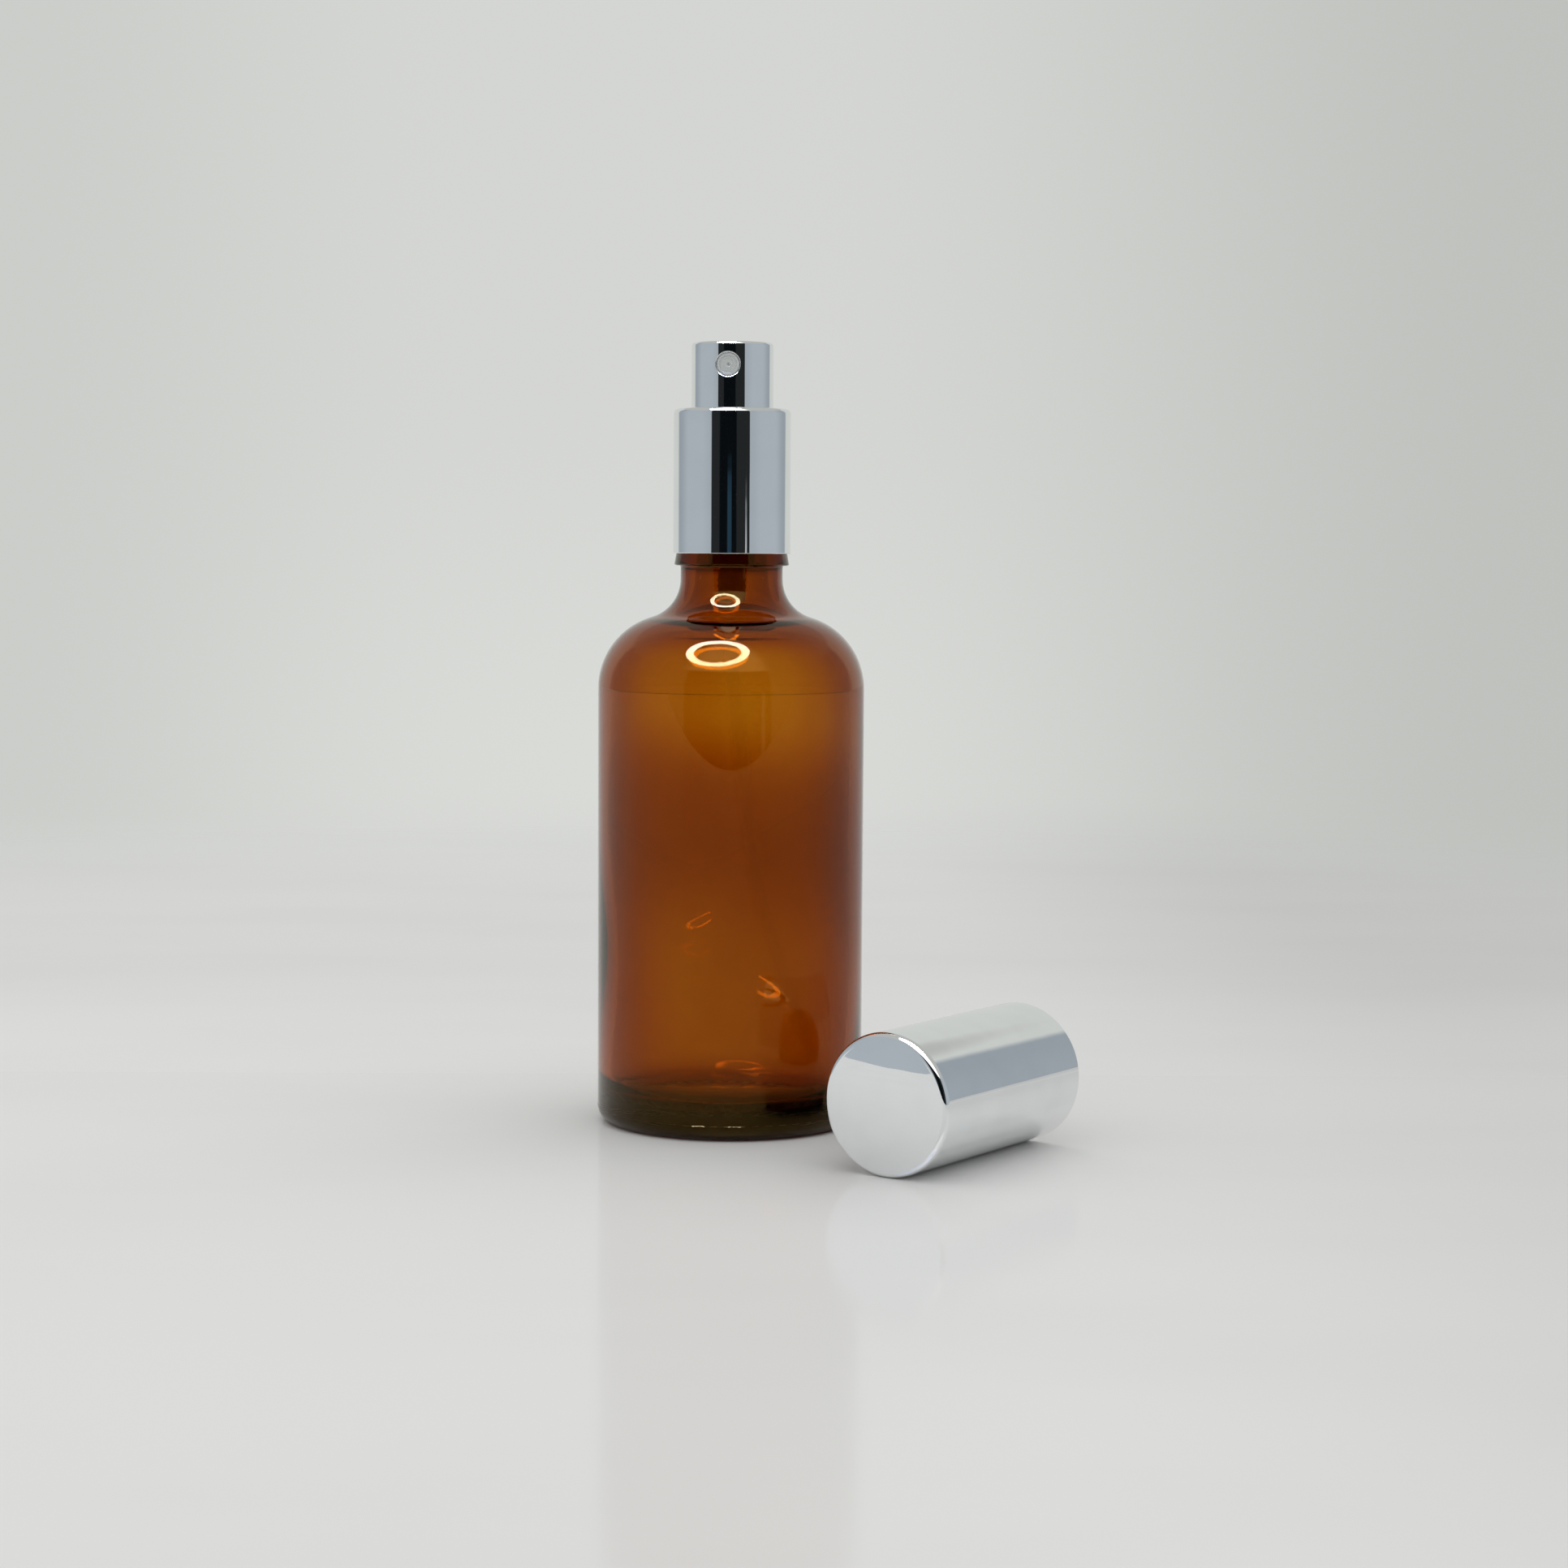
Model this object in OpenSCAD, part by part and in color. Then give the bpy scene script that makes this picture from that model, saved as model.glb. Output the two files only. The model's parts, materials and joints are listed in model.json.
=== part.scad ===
// Fine-mist spray bottle: an amber glass bottle, a metal-shelled spray pump and a loose metal overcap.
// The origin is the middle of the bottle's resting base, +Z is up, and the nozzle sprays toward -Y.
// Every size is in millimetres. Heights above the shoulder follow the bottle's own heights.

/* [Bottle] */
// Outside diameter of the glass body
body_d = 47; // [45:0.5:60]
// Height of the straight side wall, from the base to the start of the shoulder
shoulder_z = 76.84; // [60:0.01:110]
// Radius of the rounded shoulder
shoulder_r = 13.2; // [11:0.1:14]
// Radius of the hollow curve between shoulder and neck
fillet_r = 7; // [6:0.1:8]
// Outside diameter of the neck below the bead
neck_d = 18; // [17.6:0.1:18.6]
// Thickness of the glass wall
glass_t = 2.5; // [2:0.1:2.8]
// Thickness of the glass at the middle of the base
base_t = 4.2; // [3:0.1:6]
// Radius of the rounded outside corner at the base
heel_r = 2.8; // [2:0.1:4]
// How far the middle of the base is raised off the table
push_up = 1.2; // [0.6:0.1:2]
// Diameter of the bead under the closure
bead_d = 20.2; // [19.8:0.1:20.6]
// Diameter of the hole in the bottle's mouth
mouth_d = 11.8; // [11.6:0.1:12]

/* [Screw thread] */
// Diameter over the crest of the bottle's thread
thread_d = 17.8; // [17.6:0.1:17.9]
// Rise of the thread in one turn
pitch = 3; // [2.8:0.1:3.2]
// Turns of thread on the bottle
glass_turns = 1.5; // [1.2:0.1:1.6]
// Turns of thread in the closure
closure_turns = 1.2; // [1:0.1:1.4]

/* [Collar] */
// Outside diameter of the metal collar
collar_d = 20.66; // [20.6:0.02:21]
// Height of the metal collar
collar_h = 25.3; // [24.8:0.1:26]
// Thickness of the metal shells on the collar and the actuator
shell_t = 0.45; // [0.4:0.01:0.5]
// Radius of the collar's rounded top edge
collar_edge_r = 0.85; // [0.6:0.05:1]

/* [Actuator] */
// Outside diameter of the actuator
head_d = 14.4; // [14:0.05:14.45]
// Height of the actuator above the collar
head_rise = 11.5; // [11:0.1:13]
// Length of actuator skirt hidden in the collar at rest
skirt_h = 5.2; // [4.8:0.1:5.3]
// Radius of the actuator's rounded top edge
head_edge_r = 0.55; // [0.4:0.05:0.8]
// Diameter of the nozzle disc
nozzle_d = 4; // [3.8:0.1:4.2]
// Height of the nozzle's centre above the collar
nozzle_rise = 7.5; // [7.2:0.1:7.8]
// Travel of the actuator when it is pressed
stroke = 4.5; // [3.5:0.1:4.6]

/* [Pump] */
// Bore of the pump chamber
chamber_d = 6.2; // [6:0.1:6.4]
// Outside diameter of the pump's tail, which holds the dip tube
tail_d = 4.8; // [4.6:0.1:5]
// Outside diameter of the stem
stem_d = 3.8; // [3.6:0.1:3.9]
// Diameter of the check ball
ball_d = 2.5; // [2.2:0.1:2.6]
// Wire diameter of the main spring
spring_wire = 0.45; // [0.35:0.01:0.5]
// Number of coils in the main spring
spring_coils = 4.5; // [4:0.5:5]
// Outside diameter of the dip tube
tube_d = 2.7; // [2.4:0.1:2.8]
// How far the dip tube's lower end bends away from the middle
tube_reach = 17; // [4:0.5:17.5]
// Direction in which the dip tube bends, turned from +X toward +Y
tube_turn = 6; // [0:1:359]

/* [Overcap] */
// Outside diameter of the overcap
cap_d = 23.8; // [23.6:0.1:24.4]
// Length of the overcap, with its domed end
cap_h = 43.3; // [41:0.1:46]
// Height of the dome on the closed end
cap_crown = 0.8; // [0.2:0.1:1]
// Radius of the rounded edge at the closed end
cap_edge_r = 1.1; // [0.8:0.1:1.6]
// Bore of the liner, which slides over the collar
cap_bore_d = 21; // [20.96:0.02:21.2]
// Sideways place of the closed end's centre, where the cap lies on the table
cap_x = 30.61; // [28:0.01:60]
// Front-to-back place of the closed end's centre
cap_y = -50.4; // [-70:0.01:-46]
// Heading of the cap's open end, turned from +Y toward +X
cap_heading = 29.4; // [0:0.1:60]

/* [Hidden] */

// Facets around a full circle, and clearances
round_fn = 96;
small_fn = 48;
slip = 0.05;
seat = 0.02;
over = 0.3;

// Bottle outline
body_r = body_d / 2;
neck_r = neck_d / 2;
shoulder_cx = body_r - shoulder_r;
fillet_cx = neck_r + fillet_r;
centres_d = shoulder_r + fillet_r;
fillet_z = shoulder_z + sqrt(centres_d * centres_d - (fillet_cx - shoulder_cx) * (fillet_cx - shoulder_cx));
inner_heel_r = 5;
foot_r = body_r - heel_r - 4.7;
dome_r = (foot_r * foot_r + push_up * push_up) / (2 * push_up);
wall_floor_z = base_t + push_up - (dome_r + base_t) + sqrt(pow(dome_r + base_t, 2) - foot_r * foot_r);
bead_z = fillet_z + 2.38;
bead_h = 1.8;
bead_edge_r = 0.3;
bead_top_r = bead_d / 2 - 0.5;
mouth_z = bead_z + 14.1;
mouth_r = mouth_d / 2;
lip_r = 0.6;

// Thread, on the bottle and in the closure
root_r = thread_d / 2 - 1;
crest_w = 0.8;
ridge_w = 1.8;
ridge_slope = (ridge_w - crest_w) / 2;
thread_steps = 30;
glass_thread_z = bead_z + 6.6;
closure_start = 150;
closure_bore_r = thread_d / 2 + 0.15;
closure_crest_r = root_r + 0.2;
closure_thread_z = glass_thread_z - pitch / 2 + pitch * closure_start / 360;

// Collar and closure heights
collar_r = collar_d / 2;
collar_z = bead_z + 2.1;
collar_top = collar_z + collar_h;
closure_z = collar_z + 0.4;
closure_r = collar_r - shell_t - seat;
closure_top = collar_top - shell_t - seat;
gasket_t = 1.2;
flange_z = mouth_z + gasket_t;
flange_t = 1;
clamp_z = flange_z + flange_t + seat;
clamp_t = 1.15;
head_r = head_d / 2;
guide_r = head_r + 0.3;
guide_t = 0.9;

// Actuator heights
head_z = collar_top - skirt_h;
head_top = collar_top + head_rise;
core_r = head_r - shell_t - slip;
core_top = head_top - shell_t - seat;
core_wall = 1;
deck_t = 1.3;
nozzle_z = collar_top + nozzle_rise;
nozzle_r = nozzle_d / 2;
boss_r = 2.9;
swirl_post_r = 1.1;
pocket_y = 3.2;
nozzle_face_y = head_r - shell_t;
nozzle_gap = 0.15;
channel_r = 0.7;

// Pump heights, from the top down
chamber_r = chamber_d / 2;
barrel_r = chamber_r + 1;
cup_r = 4.9;
cup_bore_r = 4.1;
cup_top = flange_z + 4.3;
turret_flange_t = 0.8;
turret_top = cup_top + turret_flange_t;
seal_t = 0.7;
seal_z = flange_z;
turret_z = seal_z + seal_t;
stem_r = stem_d / 2;
stem_bore_r = 1.2;
stem_flange_r = chamber_r - 0.2;
stem_flange_t = 0.65;
stem_z = seal_z - stem_flange_t - slip;
stem_top = collar_top + 2.6;
socket_top = stem_top + seat;
boss_z = turret_top + stroke + 0.2;
piston_h = 3;
piston_lip_h = 0.9;
piston_gap = 1.8;
piston_top = stem_z - piston_gap;
piston_z = piston_top - piston_h;
rod_r = stem_bore_r - seat;
plunger_flange_r = 2.5;
plunger_flange_t = 0.65;
plunger_z = piston_z - seat - plunger_flange_t;
seat_z = plunger_z - 6.8;
seat_t = 0.7;
floor_z = seat_z - seat_t;
barrel_z = floor_z - 1.7;
ball_r = ball_d / 2;
ball_lift = 0.6;
ball_z = floor_z - ball_lift - ball_r;
pocket_r = ball_r + 0.3;
inlet_r = 0.8;
tail_r = tail_d / 2;
tail_z = barrel_z - 7;
tube_r = tube_d / 2;
tube_bore_r = tube_r - 0.45;
tube_top = tail_z + 4.4;
cone_tip_z = ball_z - (ball_r + seat) * sqrt(2);

// Springs
coil_steps = 24;
wire_sides = 8;
spring_r = chamber_r - 0.75;
piston_wire = 0.3;
piston_coils = 3;
piston_spring_r = 2.2;

// Dip tube: an arc that starts straight down at the tail's mouth
tube_end_z = 5.6;
tube_drop = tail_z - tube_end_z;
bend_r = (tube_reach * tube_reach + tube_drop * tube_drop) / (2 * tube_reach);
bend_angle = asin(tube_drop / bend_r);

// Overcap
cap_r = cap_d / 2;
cap_shell_t = 0.45;
dome_edge_r = cap_r - cap_edge_r - 0.3;
crown_r = (dome_edge_r * dome_edge_r + cap_crown * cap_crown) / (2 * cap_crown);
liner_r = cap_r - cap_shell_t - seat;
cap_bore_r = cap_bore_d / 2;
liner_z = 0.6;
liner_step_z = collar_h + 0.3;
liner_step_t = 1;
liner_cup_r = guide_r + 2.2;
liner_cup_t = 0.9;
liner_top = cap_h - cap_shell_t - cap_crown - slip;
grip_count = 6;
grip_r = 0.4;
grip_proud = 0.14;

// ---- Shared shapes ----

// A rectangle in a turned outline: from radius r0 to r1 and from height z0 to z1
module band(r0, r1, z0, z1) {
    translate([r0, z0]) square([r1 - r0, z1 - z0]);
}

// One quarter of a disc, toward quadrant (sx, sz) of its centre
module quarter(cx, cz, r, sx, sz) {
    translate([cx, cz]) intersection() {
        circle(r, $fn = small_fn);
        translate([sx < 0 ? -r : 0, sz < 0 ? -r : 0]) square(r);
    }
}

// The outline of a solid plug with a rounded top edge
module plug(r, z0, z1, edge) {
    band(0, r, z0, z1 - edge);
    band(0, r - edge, z1 - edge, z1);
    quarter(r - edge, z1 - edge, edge, 1, 1);
}

// Turns an outline around the Z axis
module turned() {
    rotate_extrude($fn = round_fn) children();
}

// A helical ridge whose two ends run out. It stands outward if tip_r is over wall_r, and inward if not.
// Its flanks carry on into the wall, so that the ridge and the wall become one solid.
module helix_ridge(wall_r, tip_r, z0, turns, start) {
    steps = round(turns * thread_steps);
    fade = thread_steps / 6;
    depth = tip_r - wall_r;
    buried = depth > 0 ? -over : over;
    root_half = ridge_w / 2 + ridge_slope * over / abs(depth);
    function rise(i) = max(0.08, min(1, i / fade, (steps - i) / fade));
    function spot(r, a, z) = [r * cos(a), r * sin(a), z];
    points = [
        for (i = [0 : steps])
            let (a = start + 360 * turns * i / steps, z = z0 + pitch * turns * i / steps)
            let (tip = wall_r + depth * rise(i), tip_half = ridge_w / 2 - ridge_slope * rise(i))
            each [
                spot(wall_r + buried, a, z - root_half), spot(tip, a, z - tip_half),
                spot(tip, a, z + tip_half), spot(wall_r + buried, a, z + root_half)
            ]
    ];
    ring_of_points(points, 4, steps, depth < 0);
}

// Skins a closed tube over rings of n points each, with flat ends
module ring_of_points(points, n, steps, flip) {
    sides = [
        for (i = [0 : steps - 1], k = [0 : n - 1])
            let (a = n * i + k, b = n * i + (k + 1) % n)
            each [[a, b, b + n], [a, b + n, a + n]]
    ];
    first = [for (k = [n - 1 : -1 : 0]) k];
    last = [for (k = [0 : n - 1]) n * steps + k];
    all_faces = concat([first, last], sides);
    polyhedron(points, flip ? [for (f = all_faces) [for (k = [len(f) - 1 : -1 : 0]) f[k]]] : all_faces);
}

// A compression spring between heights z0 and z1, with its end coils closed
module coil_spring(mean_r, wire_d, coils, z0, z1) {
    steps = round(coils * coil_steps);
    closed = 0.7;
    travel = z1 - z0 - wire_d - 2 * closed * wire_d;
    open_coils = coils - 2 * closed;
    function height(t) =
        t < closed ? t * wire_d
        : t > coils - closed ? z1 - z0 - wire_d - (coils - t) * wire_d
        : closed * wire_d + travel * (t - closed) / open_coils;
    points = [
        for (i = [0 : steps], k = [0 : wire_sides - 1])
            let (t = coils * i / steps, a = 360 * t, w = 360 * k / wire_sides)
            let (r = mean_r + wire_d / 2 * cos(w))
            [r * cos(a), r * sin(a), z0 + wire_d / 2 + height(t) + wire_d / 2 * sin(w)]
    ];
    ring_of_points(points, wire_sides, steps, true);
}

// ---- Bottle ----

// The outline from the floor to the neck, moved inward by inset
module vessel(inset, corner, z0, z1) {
    r = body_r - inset;
    far = shoulder_z + centres_d;
    reach = (fillet_cx - shoulder_cx) * (far - shoulder_z) / (fillet_z - shoulder_z);
    band(0, r, z0 + corner, shoulder_z);
    band(0, r - corner, z0, z0 + corner);
    quarter(r - corner, z0 + corner, corner, 1, -1);
    intersection() {
        translate([shoulder_cx, shoulder_z]) circle(shoulder_r - inset, $fn = round_fn);
        polygon([
            [shoulder_cx, shoulder_z], [body_r + 1, shoulder_z],
            [body_r + 1, far], [shoulder_cx + reach, far]
        ]);
    }
    difference() {
        polygon([[0, shoulder_z], [shoulder_cx, shoulder_z], [fillet_cx, fillet_z], [0, fillet_z]]);
        translate([fillet_cx, fillet_z]) circle(fillet_r + inset, $fn = round_fn);
    }
    band(0, neck_r - inset, fillet_z, z1);
}

module neck_finish_outline() {
    bead_r = bead_d / 2;
    polygon([
        [0, bead_z], [bead_r - bead_edge_r, bead_z], [bead_r, bead_z + bead_edge_r],
        [bead_top_r, bead_z + bead_h], [root_r, bead_z + bead_h + 1], [0, bead_z + bead_h + 1]
    ]);
    quarter(bead_r - bead_edge_r, bead_z + bead_edge_r, bead_edge_r, 1, -1);
    plug(root_r, bead_z + bead_h, mouth_z, lip_r);
}

module bottle_hollow_outline() {
    throat_z = bead_z + 2.5;
    difference() {
        vessel(glass_t, inner_heel_r, wall_floor_z, bead_z - 0.6);
        translate([0, push_up - dome_r]) circle(dome_r + base_t, $fn = round_fn);
    }
    polygon([
        [0, bead_z - 0.6], [neck_r - glass_t, bead_z - 0.6], [mouth_r, throat_z],
        [mouth_r, mouth_z - 0.4], [mouth_r + 0.4, mouth_z], [mouth_r + 0.4, mouth_z + 1], [0, mouth_z + 1]
    ]);
}

module bottle() {
    color([0.42, 0.2, 0.03, 0.75]) {
        turned() intersection() {
            difference() {
                union() {
                    vessel(0, heel_r, 0, bead_z);
                    neck_finish_outline();
                }
                bottle_hollow_outline();
                translate([0, push_up - dome_r]) circle(dome_r, $fn = round_fn);
            }
            band(0, body_r + 1, 0, mouth_z);
        }
        helix_ridge(root_r, thread_d / 2, glass_thread_z, glass_turns, 0);
    }
}

// ---- Closure and collar ----

module closure() {
    color("whitesmoke") {
        turned() {
            difference() {
                plug(closure_r, closure_z, closure_top, collar_edge_r - shell_t + seat);
                band(0, closure_bore_r, closure_z - 1, closure_top + 1);
            }
            band(cup_r + 0.2, closure_r - 0.2, clamp_z, clamp_z + clamp_t);
            band(guide_r, guide_r + guide_t, clamp_z + clamp_t - 0.1, closure_top);
        }
        helix_ridge(closure_bore_r, closure_crest_r, closure_thread_z, closure_turns, closure_start);
    }
}

module collar_shell() {
    color("silver") turned() difference() {
        plug(collar_r, collar_z, collar_top, collar_edge_r);
        plug(collar_r - shell_t, collar_z - 1, collar_top - shell_t, collar_edge_r - shell_t);
        band(0, guide_r, collar_top - 1, collar_top + 1);
    }
}

// ---- Pump ----

module neck_gasket() {
    color("gainsboro") turned() band(cup_r + 0.1, thread_d / 2 - 0.2, mouth_z + seat, flange_z - seat);
}

module pump_housing() {
    rib_h = 0.5;
    color("ghostwhite") turned() difference() {
        union() {
            band(0, cup_r, seal_z - 1, cup_top);
            band(0, thread_d / 2 - 0.3, flange_z, flange_z + flange_t);
            band(0, barrel_r, barrel_z, seal_z);
            band(0, tail_r, tail_z, barrel_z + 0.1);
            for (k = [1 : 3]) band(0, tail_r + 0.15, tail_z + 1.5 * k, tail_z + 1.5 * k + rib_h);
        }
        band(0, cup_bore_r, seal_z, cup_top + 1);
        band(0, chamber_r, floor_z, seal_z + 0.1);
        band(0, pocket_r, cone_tip_z + pocket_r, floor_z + 0.1);
        polygon([
            [0, cone_tip_z + inlet_r], [inlet_r, cone_tip_z + inlet_r],
            [pocket_r, cone_tip_z + pocket_r], [0, cone_tip_z + pocket_r]
        ]);
        band(0, inlet_r, tube_top, cone_tip_z + inlet_r);
        band(0, tube_r + seat, tail_z - 1, tube_top + seat);
    }
}

module turret() {
    color("white") turned() {
        band(stem_r + slip, cup_bore_r - seat, turret_z, cup_top + 0.1);
        band(stem_r + slip, cup_r - 0.1, cup_top + seat, turret_top);
    }
}

module stem_seal() {
    color("dimgray") turned() band(stem_r + slip, cup_bore_r - seat, seal_z + seat, turret_z - seat);
}

module dip_tube() {
    color([0.95, 0.95, 0.92, 0.6]) rotate([0, 0, tube_turn]) {
        translate([0, 0, tail_z]) difference() {
            cylinder(h = tube_top - tail_z, r = tube_r, $fn = small_fn);
            translate([0, 0, -1]) cylinder(h = tube_top - tail_z + 2, r = tube_bore_r, $fn = small_fn);
        }
        translate([bend_r, 0, tail_z]) rotate([90, 0, 180])
            rotate_extrude(angle = -bend_angle, $fn = 4 * round_fn) translate([bend_r, 0]) difference() {
                circle(tube_r, $fn = small_fn);
                circle(tube_bore_r, $fn = small_fn);
            }
    }
}

module spring_seat() {
    ports = 4;
    port_r = 0.35;
    color("white") difference() {
        turned() band(inlet_r, chamber_r - slip, floor_z + seat, seat_z);
        for (k = [0 : ports - 1]) rotate([0, 0, 360 * k / ports])
            translate([ball_r + 0.25, 0, floor_z - 1]) cylinder(h = seat_t + 2, r = port_r, $fn = small_fn);
    }
}

module check_ball() {
    color("silver") translate([0, 0, ball_z]) sphere(ball_r, $fn = small_fn);
}

module main_spring() {
    color("silver") coil_spring(spring_r, spring_wire, spring_coils, seat_z + slip, plunger_z - slip);
}

// ---- Parts that travel with the actuator ----

module stem() {
    color("white") turned() {
        band(stem_bore_r, stem_r, stem_z, stem_top);
        band(stem_bore_r, stem_flange_r, stem_z, stem_z + stem_flange_t);
    }
}

module plunger() {
    rod_top = stem_z + 4;
    groove = 0.35;
    nose_h = 1.8;
    nose_r = 1.4;
    color("ivory") difference() {
        turned() {
            band(0, rod_r, plunger_z, rod_top);
            band(0, plunger_flange_r, plunger_z, plunger_z + plunger_flange_t);
            polygon([
                [0, plunger_z - nose_h], [nose_r - 0.5, plunger_z - nose_h],
                [nose_r, plunger_z - nose_h + 0.6], [nose_r, plunger_z], [0, plunger_z]
            ]);
        }
        for (side = [-1, 1]) translate([side * rod_r - groove, -groove, piston_z])
            cube([2 * groove, 2 * groove, rod_top]);
    }
}

module piston() {
    hub_r = 1.9;
    skirt_r = chamber_r - 0.03;
    waist_r = skirt_r - 0.12;
    low = piston_z + piston_lip_h;
    high = piston_top - piston_lip_h;
    color("aliceblue") turned() {
        band(rod_r + slip, hub_r, piston_z, piston_top);
        band(hub_r - 0.1, waist_r - 0.1, low, high);
        polygon([
            [skirt_r - 0.25, piston_z], [skirt_r, piston_z], [waist_r, low],
            [waist_r, high], [skirt_r, piston_top], [skirt_r - 0.25, piston_top],
            [waist_r - 0.45, high], [waist_r - 0.45, low]
        ]);
    }
}

module piston_spring() {
    foot_z = piston_top - piston_lip_h + slip;
    color("silver") coil_spring(piston_spring_r, piston_wire, piston_coils, foot_z, stem_z - slip);
}

module actuator_core() {
    color("whitesmoke") difference() {
        union() {
            turned() {
                band(core_r - core_wall, core_r, head_z + 0.2, core_top - 0.05);
                band(0, core_r - 0.1, core_top - deck_t, core_top);
                band(0, boss_r, boss_z, core_top - deck_t + 0.1);
            }
            translate([0, 0, nozzle_z]) rotate([90, 0, 0])
                cylinder(h = core_r - core_wall + 0.1, r = boss_r, $fn = small_fn);
        }
        translate([0, 0, boss_z - 1])
            cylinder(h = socket_top - boss_z + 1, r = stem_r + seat, $fn = small_fn);
        translate([0, 0, socket_top - 0.1])
            cylinder(h = nozzle_z - socket_top + 0.1, r = channel_r, $fn = small_fn);
        translate([0, 0, nozzle_z]) rotate([90, 0, 0]) {
            cylinder(h = pocket_y + 0.4, r = channel_r / 2, $fn = small_fn);
            translate([0, 0, pocket_y]) difference() {
                cylinder(h = core_r, r = nozzle_r + seat, $fn = small_fn);
                translate([0, 0, -1]) cylinder(h = 3.2, r = swirl_post_r, $fn = small_fn);
            }
        }
    }
}

module actuator_shell() {
    color("silver") difference() {
        turned() difference() {
            plug(head_r, head_z, head_top, head_edge_r);
            plug(head_r - shell_t, head_z - 1, head_top - shell_t, head_edge_r - shell_t);
        }
        translate([0, 0, nozzle_z]) rotate([90, 0, 0])
            cylinder(h = 2 * head_r, r = nozzle_r + nozzle_gap, $fn = small_fn);
    }
}

module nozzle_insert() {
    orifice_r = 0.15;
    cone_r = 0.5;
    rim_r = 1.35;
    dish_t = 0.12;
    color("white") translate([0, 0, nozzle_z]) rotate([90, 0, 0]) turned() difference() {
        band(0, nozzle_r - seat, pocket_y + 0.2, nozzle_face_y);
        band(0, swirl_post_r + seat, pocket_y, pocket_y + 2.4);
        band(0, orifice_r, pocket_y, nozzle_face_y + 1);
        band(0, rim_r, nozzle_face_y - dish_t, nozzle_face_y + 1);
        polygon([
            [0, nozzle_face_y - 0.5], [orifice_r, nozzle_face_y - 0.5],
            [cone_r, nozzle_face_y - dish_t + 0.01], [0, nozzle_face_y - dish_t + 0.01]
        ]);
    }
}

// ---- Overcap ----

// Lays a cap, drawn standing on its open rim, on its side on the table
module lying() {
    translate([cap_x + cap_h * sin(cap_heading), cap_y + cap_h * cos(cap_heading), cap_r])
        rotate([0, 90, 270 - cap_heading]) children();
}

// The outline of the cap as a solid plug with a domed top, moved inward by inset
module domed_plug(z0, inset) {
    flat_z = cap_h - cap_crown - inset;
    plug(cap_r - inset, z0, flat_z, cap_edge_r - inset);
    intersection() {
        translate([0, cap_h - crown_r]) circle(crown_r - inset, $fn = 8 * round_fn);
        band(0, dome_edge_r, flat_z - 0.1, cap_h);
    }
}

module overcap_shell() {
    color("silver") lying() turned() difference() {
        domed_plug(0, 0);
        domed_plug(-1, cap_shell_t);
    }
}

module overcap_liner() {
    color("whitesmoke") lying() {
        turned() {
            band(cap_bore_r, liner_r, liner_z, liner_step_z + liner_step_t);
            band(liner_cup_r, liner_r - 0.1, liner_step_z, liner_step_z + liner_step_t);
            band(liner_cup_r, liner_cup_r + liner_cup_t, liner_step_z, liner_top);
            band(0, liner_r - 0.7, liner_top - 1, liner_top);
        }
        for (k = [0 : grip_count - 1]) rotate([0, 0, 360 * k / grip_count])
            translate([cap_bore_r + grip_r - grip_proud, 0, liner_z + 1])
                cylinder(h = liner_step_z - liner_z - 1, r = grip_r, $fn = small_fn);
    }
}

bottle();
closure();
collar_shell();
neck_gasket();
pump_housing();
turret();
stem_seal();
stem();
plunger();
piston();
piston_spring();
main_spring();
spring_seat();
check_ball();
dip_tube();
actuator_core();
actuator_shell();
nozzle_insert();
overcap_shell();
overcap_liner();
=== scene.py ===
"""Looks of the fine-mist spray bottle: amber glass, mirror-bright metal shells and moulded plastic.

Outlines are in millimetres, as (radius, height) points that are turned around an axis. Places come from
the frame. The bottle stands on a pale floor, in front of a camera at the photograph's angle.
"""

import json
import math

import bmesh
import bpy
from mathutils import Matrix, Vector

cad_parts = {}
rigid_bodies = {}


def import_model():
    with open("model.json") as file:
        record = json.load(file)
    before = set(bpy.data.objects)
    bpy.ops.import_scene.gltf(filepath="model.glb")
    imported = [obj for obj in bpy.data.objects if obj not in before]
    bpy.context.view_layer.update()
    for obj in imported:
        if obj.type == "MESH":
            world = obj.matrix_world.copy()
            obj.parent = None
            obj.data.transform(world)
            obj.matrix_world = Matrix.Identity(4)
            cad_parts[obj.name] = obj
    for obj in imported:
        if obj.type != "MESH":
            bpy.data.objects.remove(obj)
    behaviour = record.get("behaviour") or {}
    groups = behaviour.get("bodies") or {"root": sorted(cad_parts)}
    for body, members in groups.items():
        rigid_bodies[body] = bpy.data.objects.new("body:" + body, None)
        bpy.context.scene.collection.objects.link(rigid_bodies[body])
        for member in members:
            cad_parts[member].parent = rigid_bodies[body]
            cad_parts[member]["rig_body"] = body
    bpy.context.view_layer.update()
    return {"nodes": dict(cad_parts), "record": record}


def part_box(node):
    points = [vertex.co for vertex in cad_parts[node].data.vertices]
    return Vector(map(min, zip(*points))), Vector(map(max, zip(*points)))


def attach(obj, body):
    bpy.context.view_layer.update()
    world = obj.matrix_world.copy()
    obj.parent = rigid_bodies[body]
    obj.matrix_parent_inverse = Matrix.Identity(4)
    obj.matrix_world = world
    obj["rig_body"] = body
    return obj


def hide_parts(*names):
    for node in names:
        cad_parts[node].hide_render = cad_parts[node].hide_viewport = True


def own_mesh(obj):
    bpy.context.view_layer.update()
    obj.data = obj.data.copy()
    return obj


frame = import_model()

MM = 0.001
SEGMENTS = 192
SMALL_SEGMENTS = 96
SHARP_ANGLE = math.radians(35)
BRACE = 0.05
ON_AXIS = 1e-6
MERGE_DISTANCE = 1e-7

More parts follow.
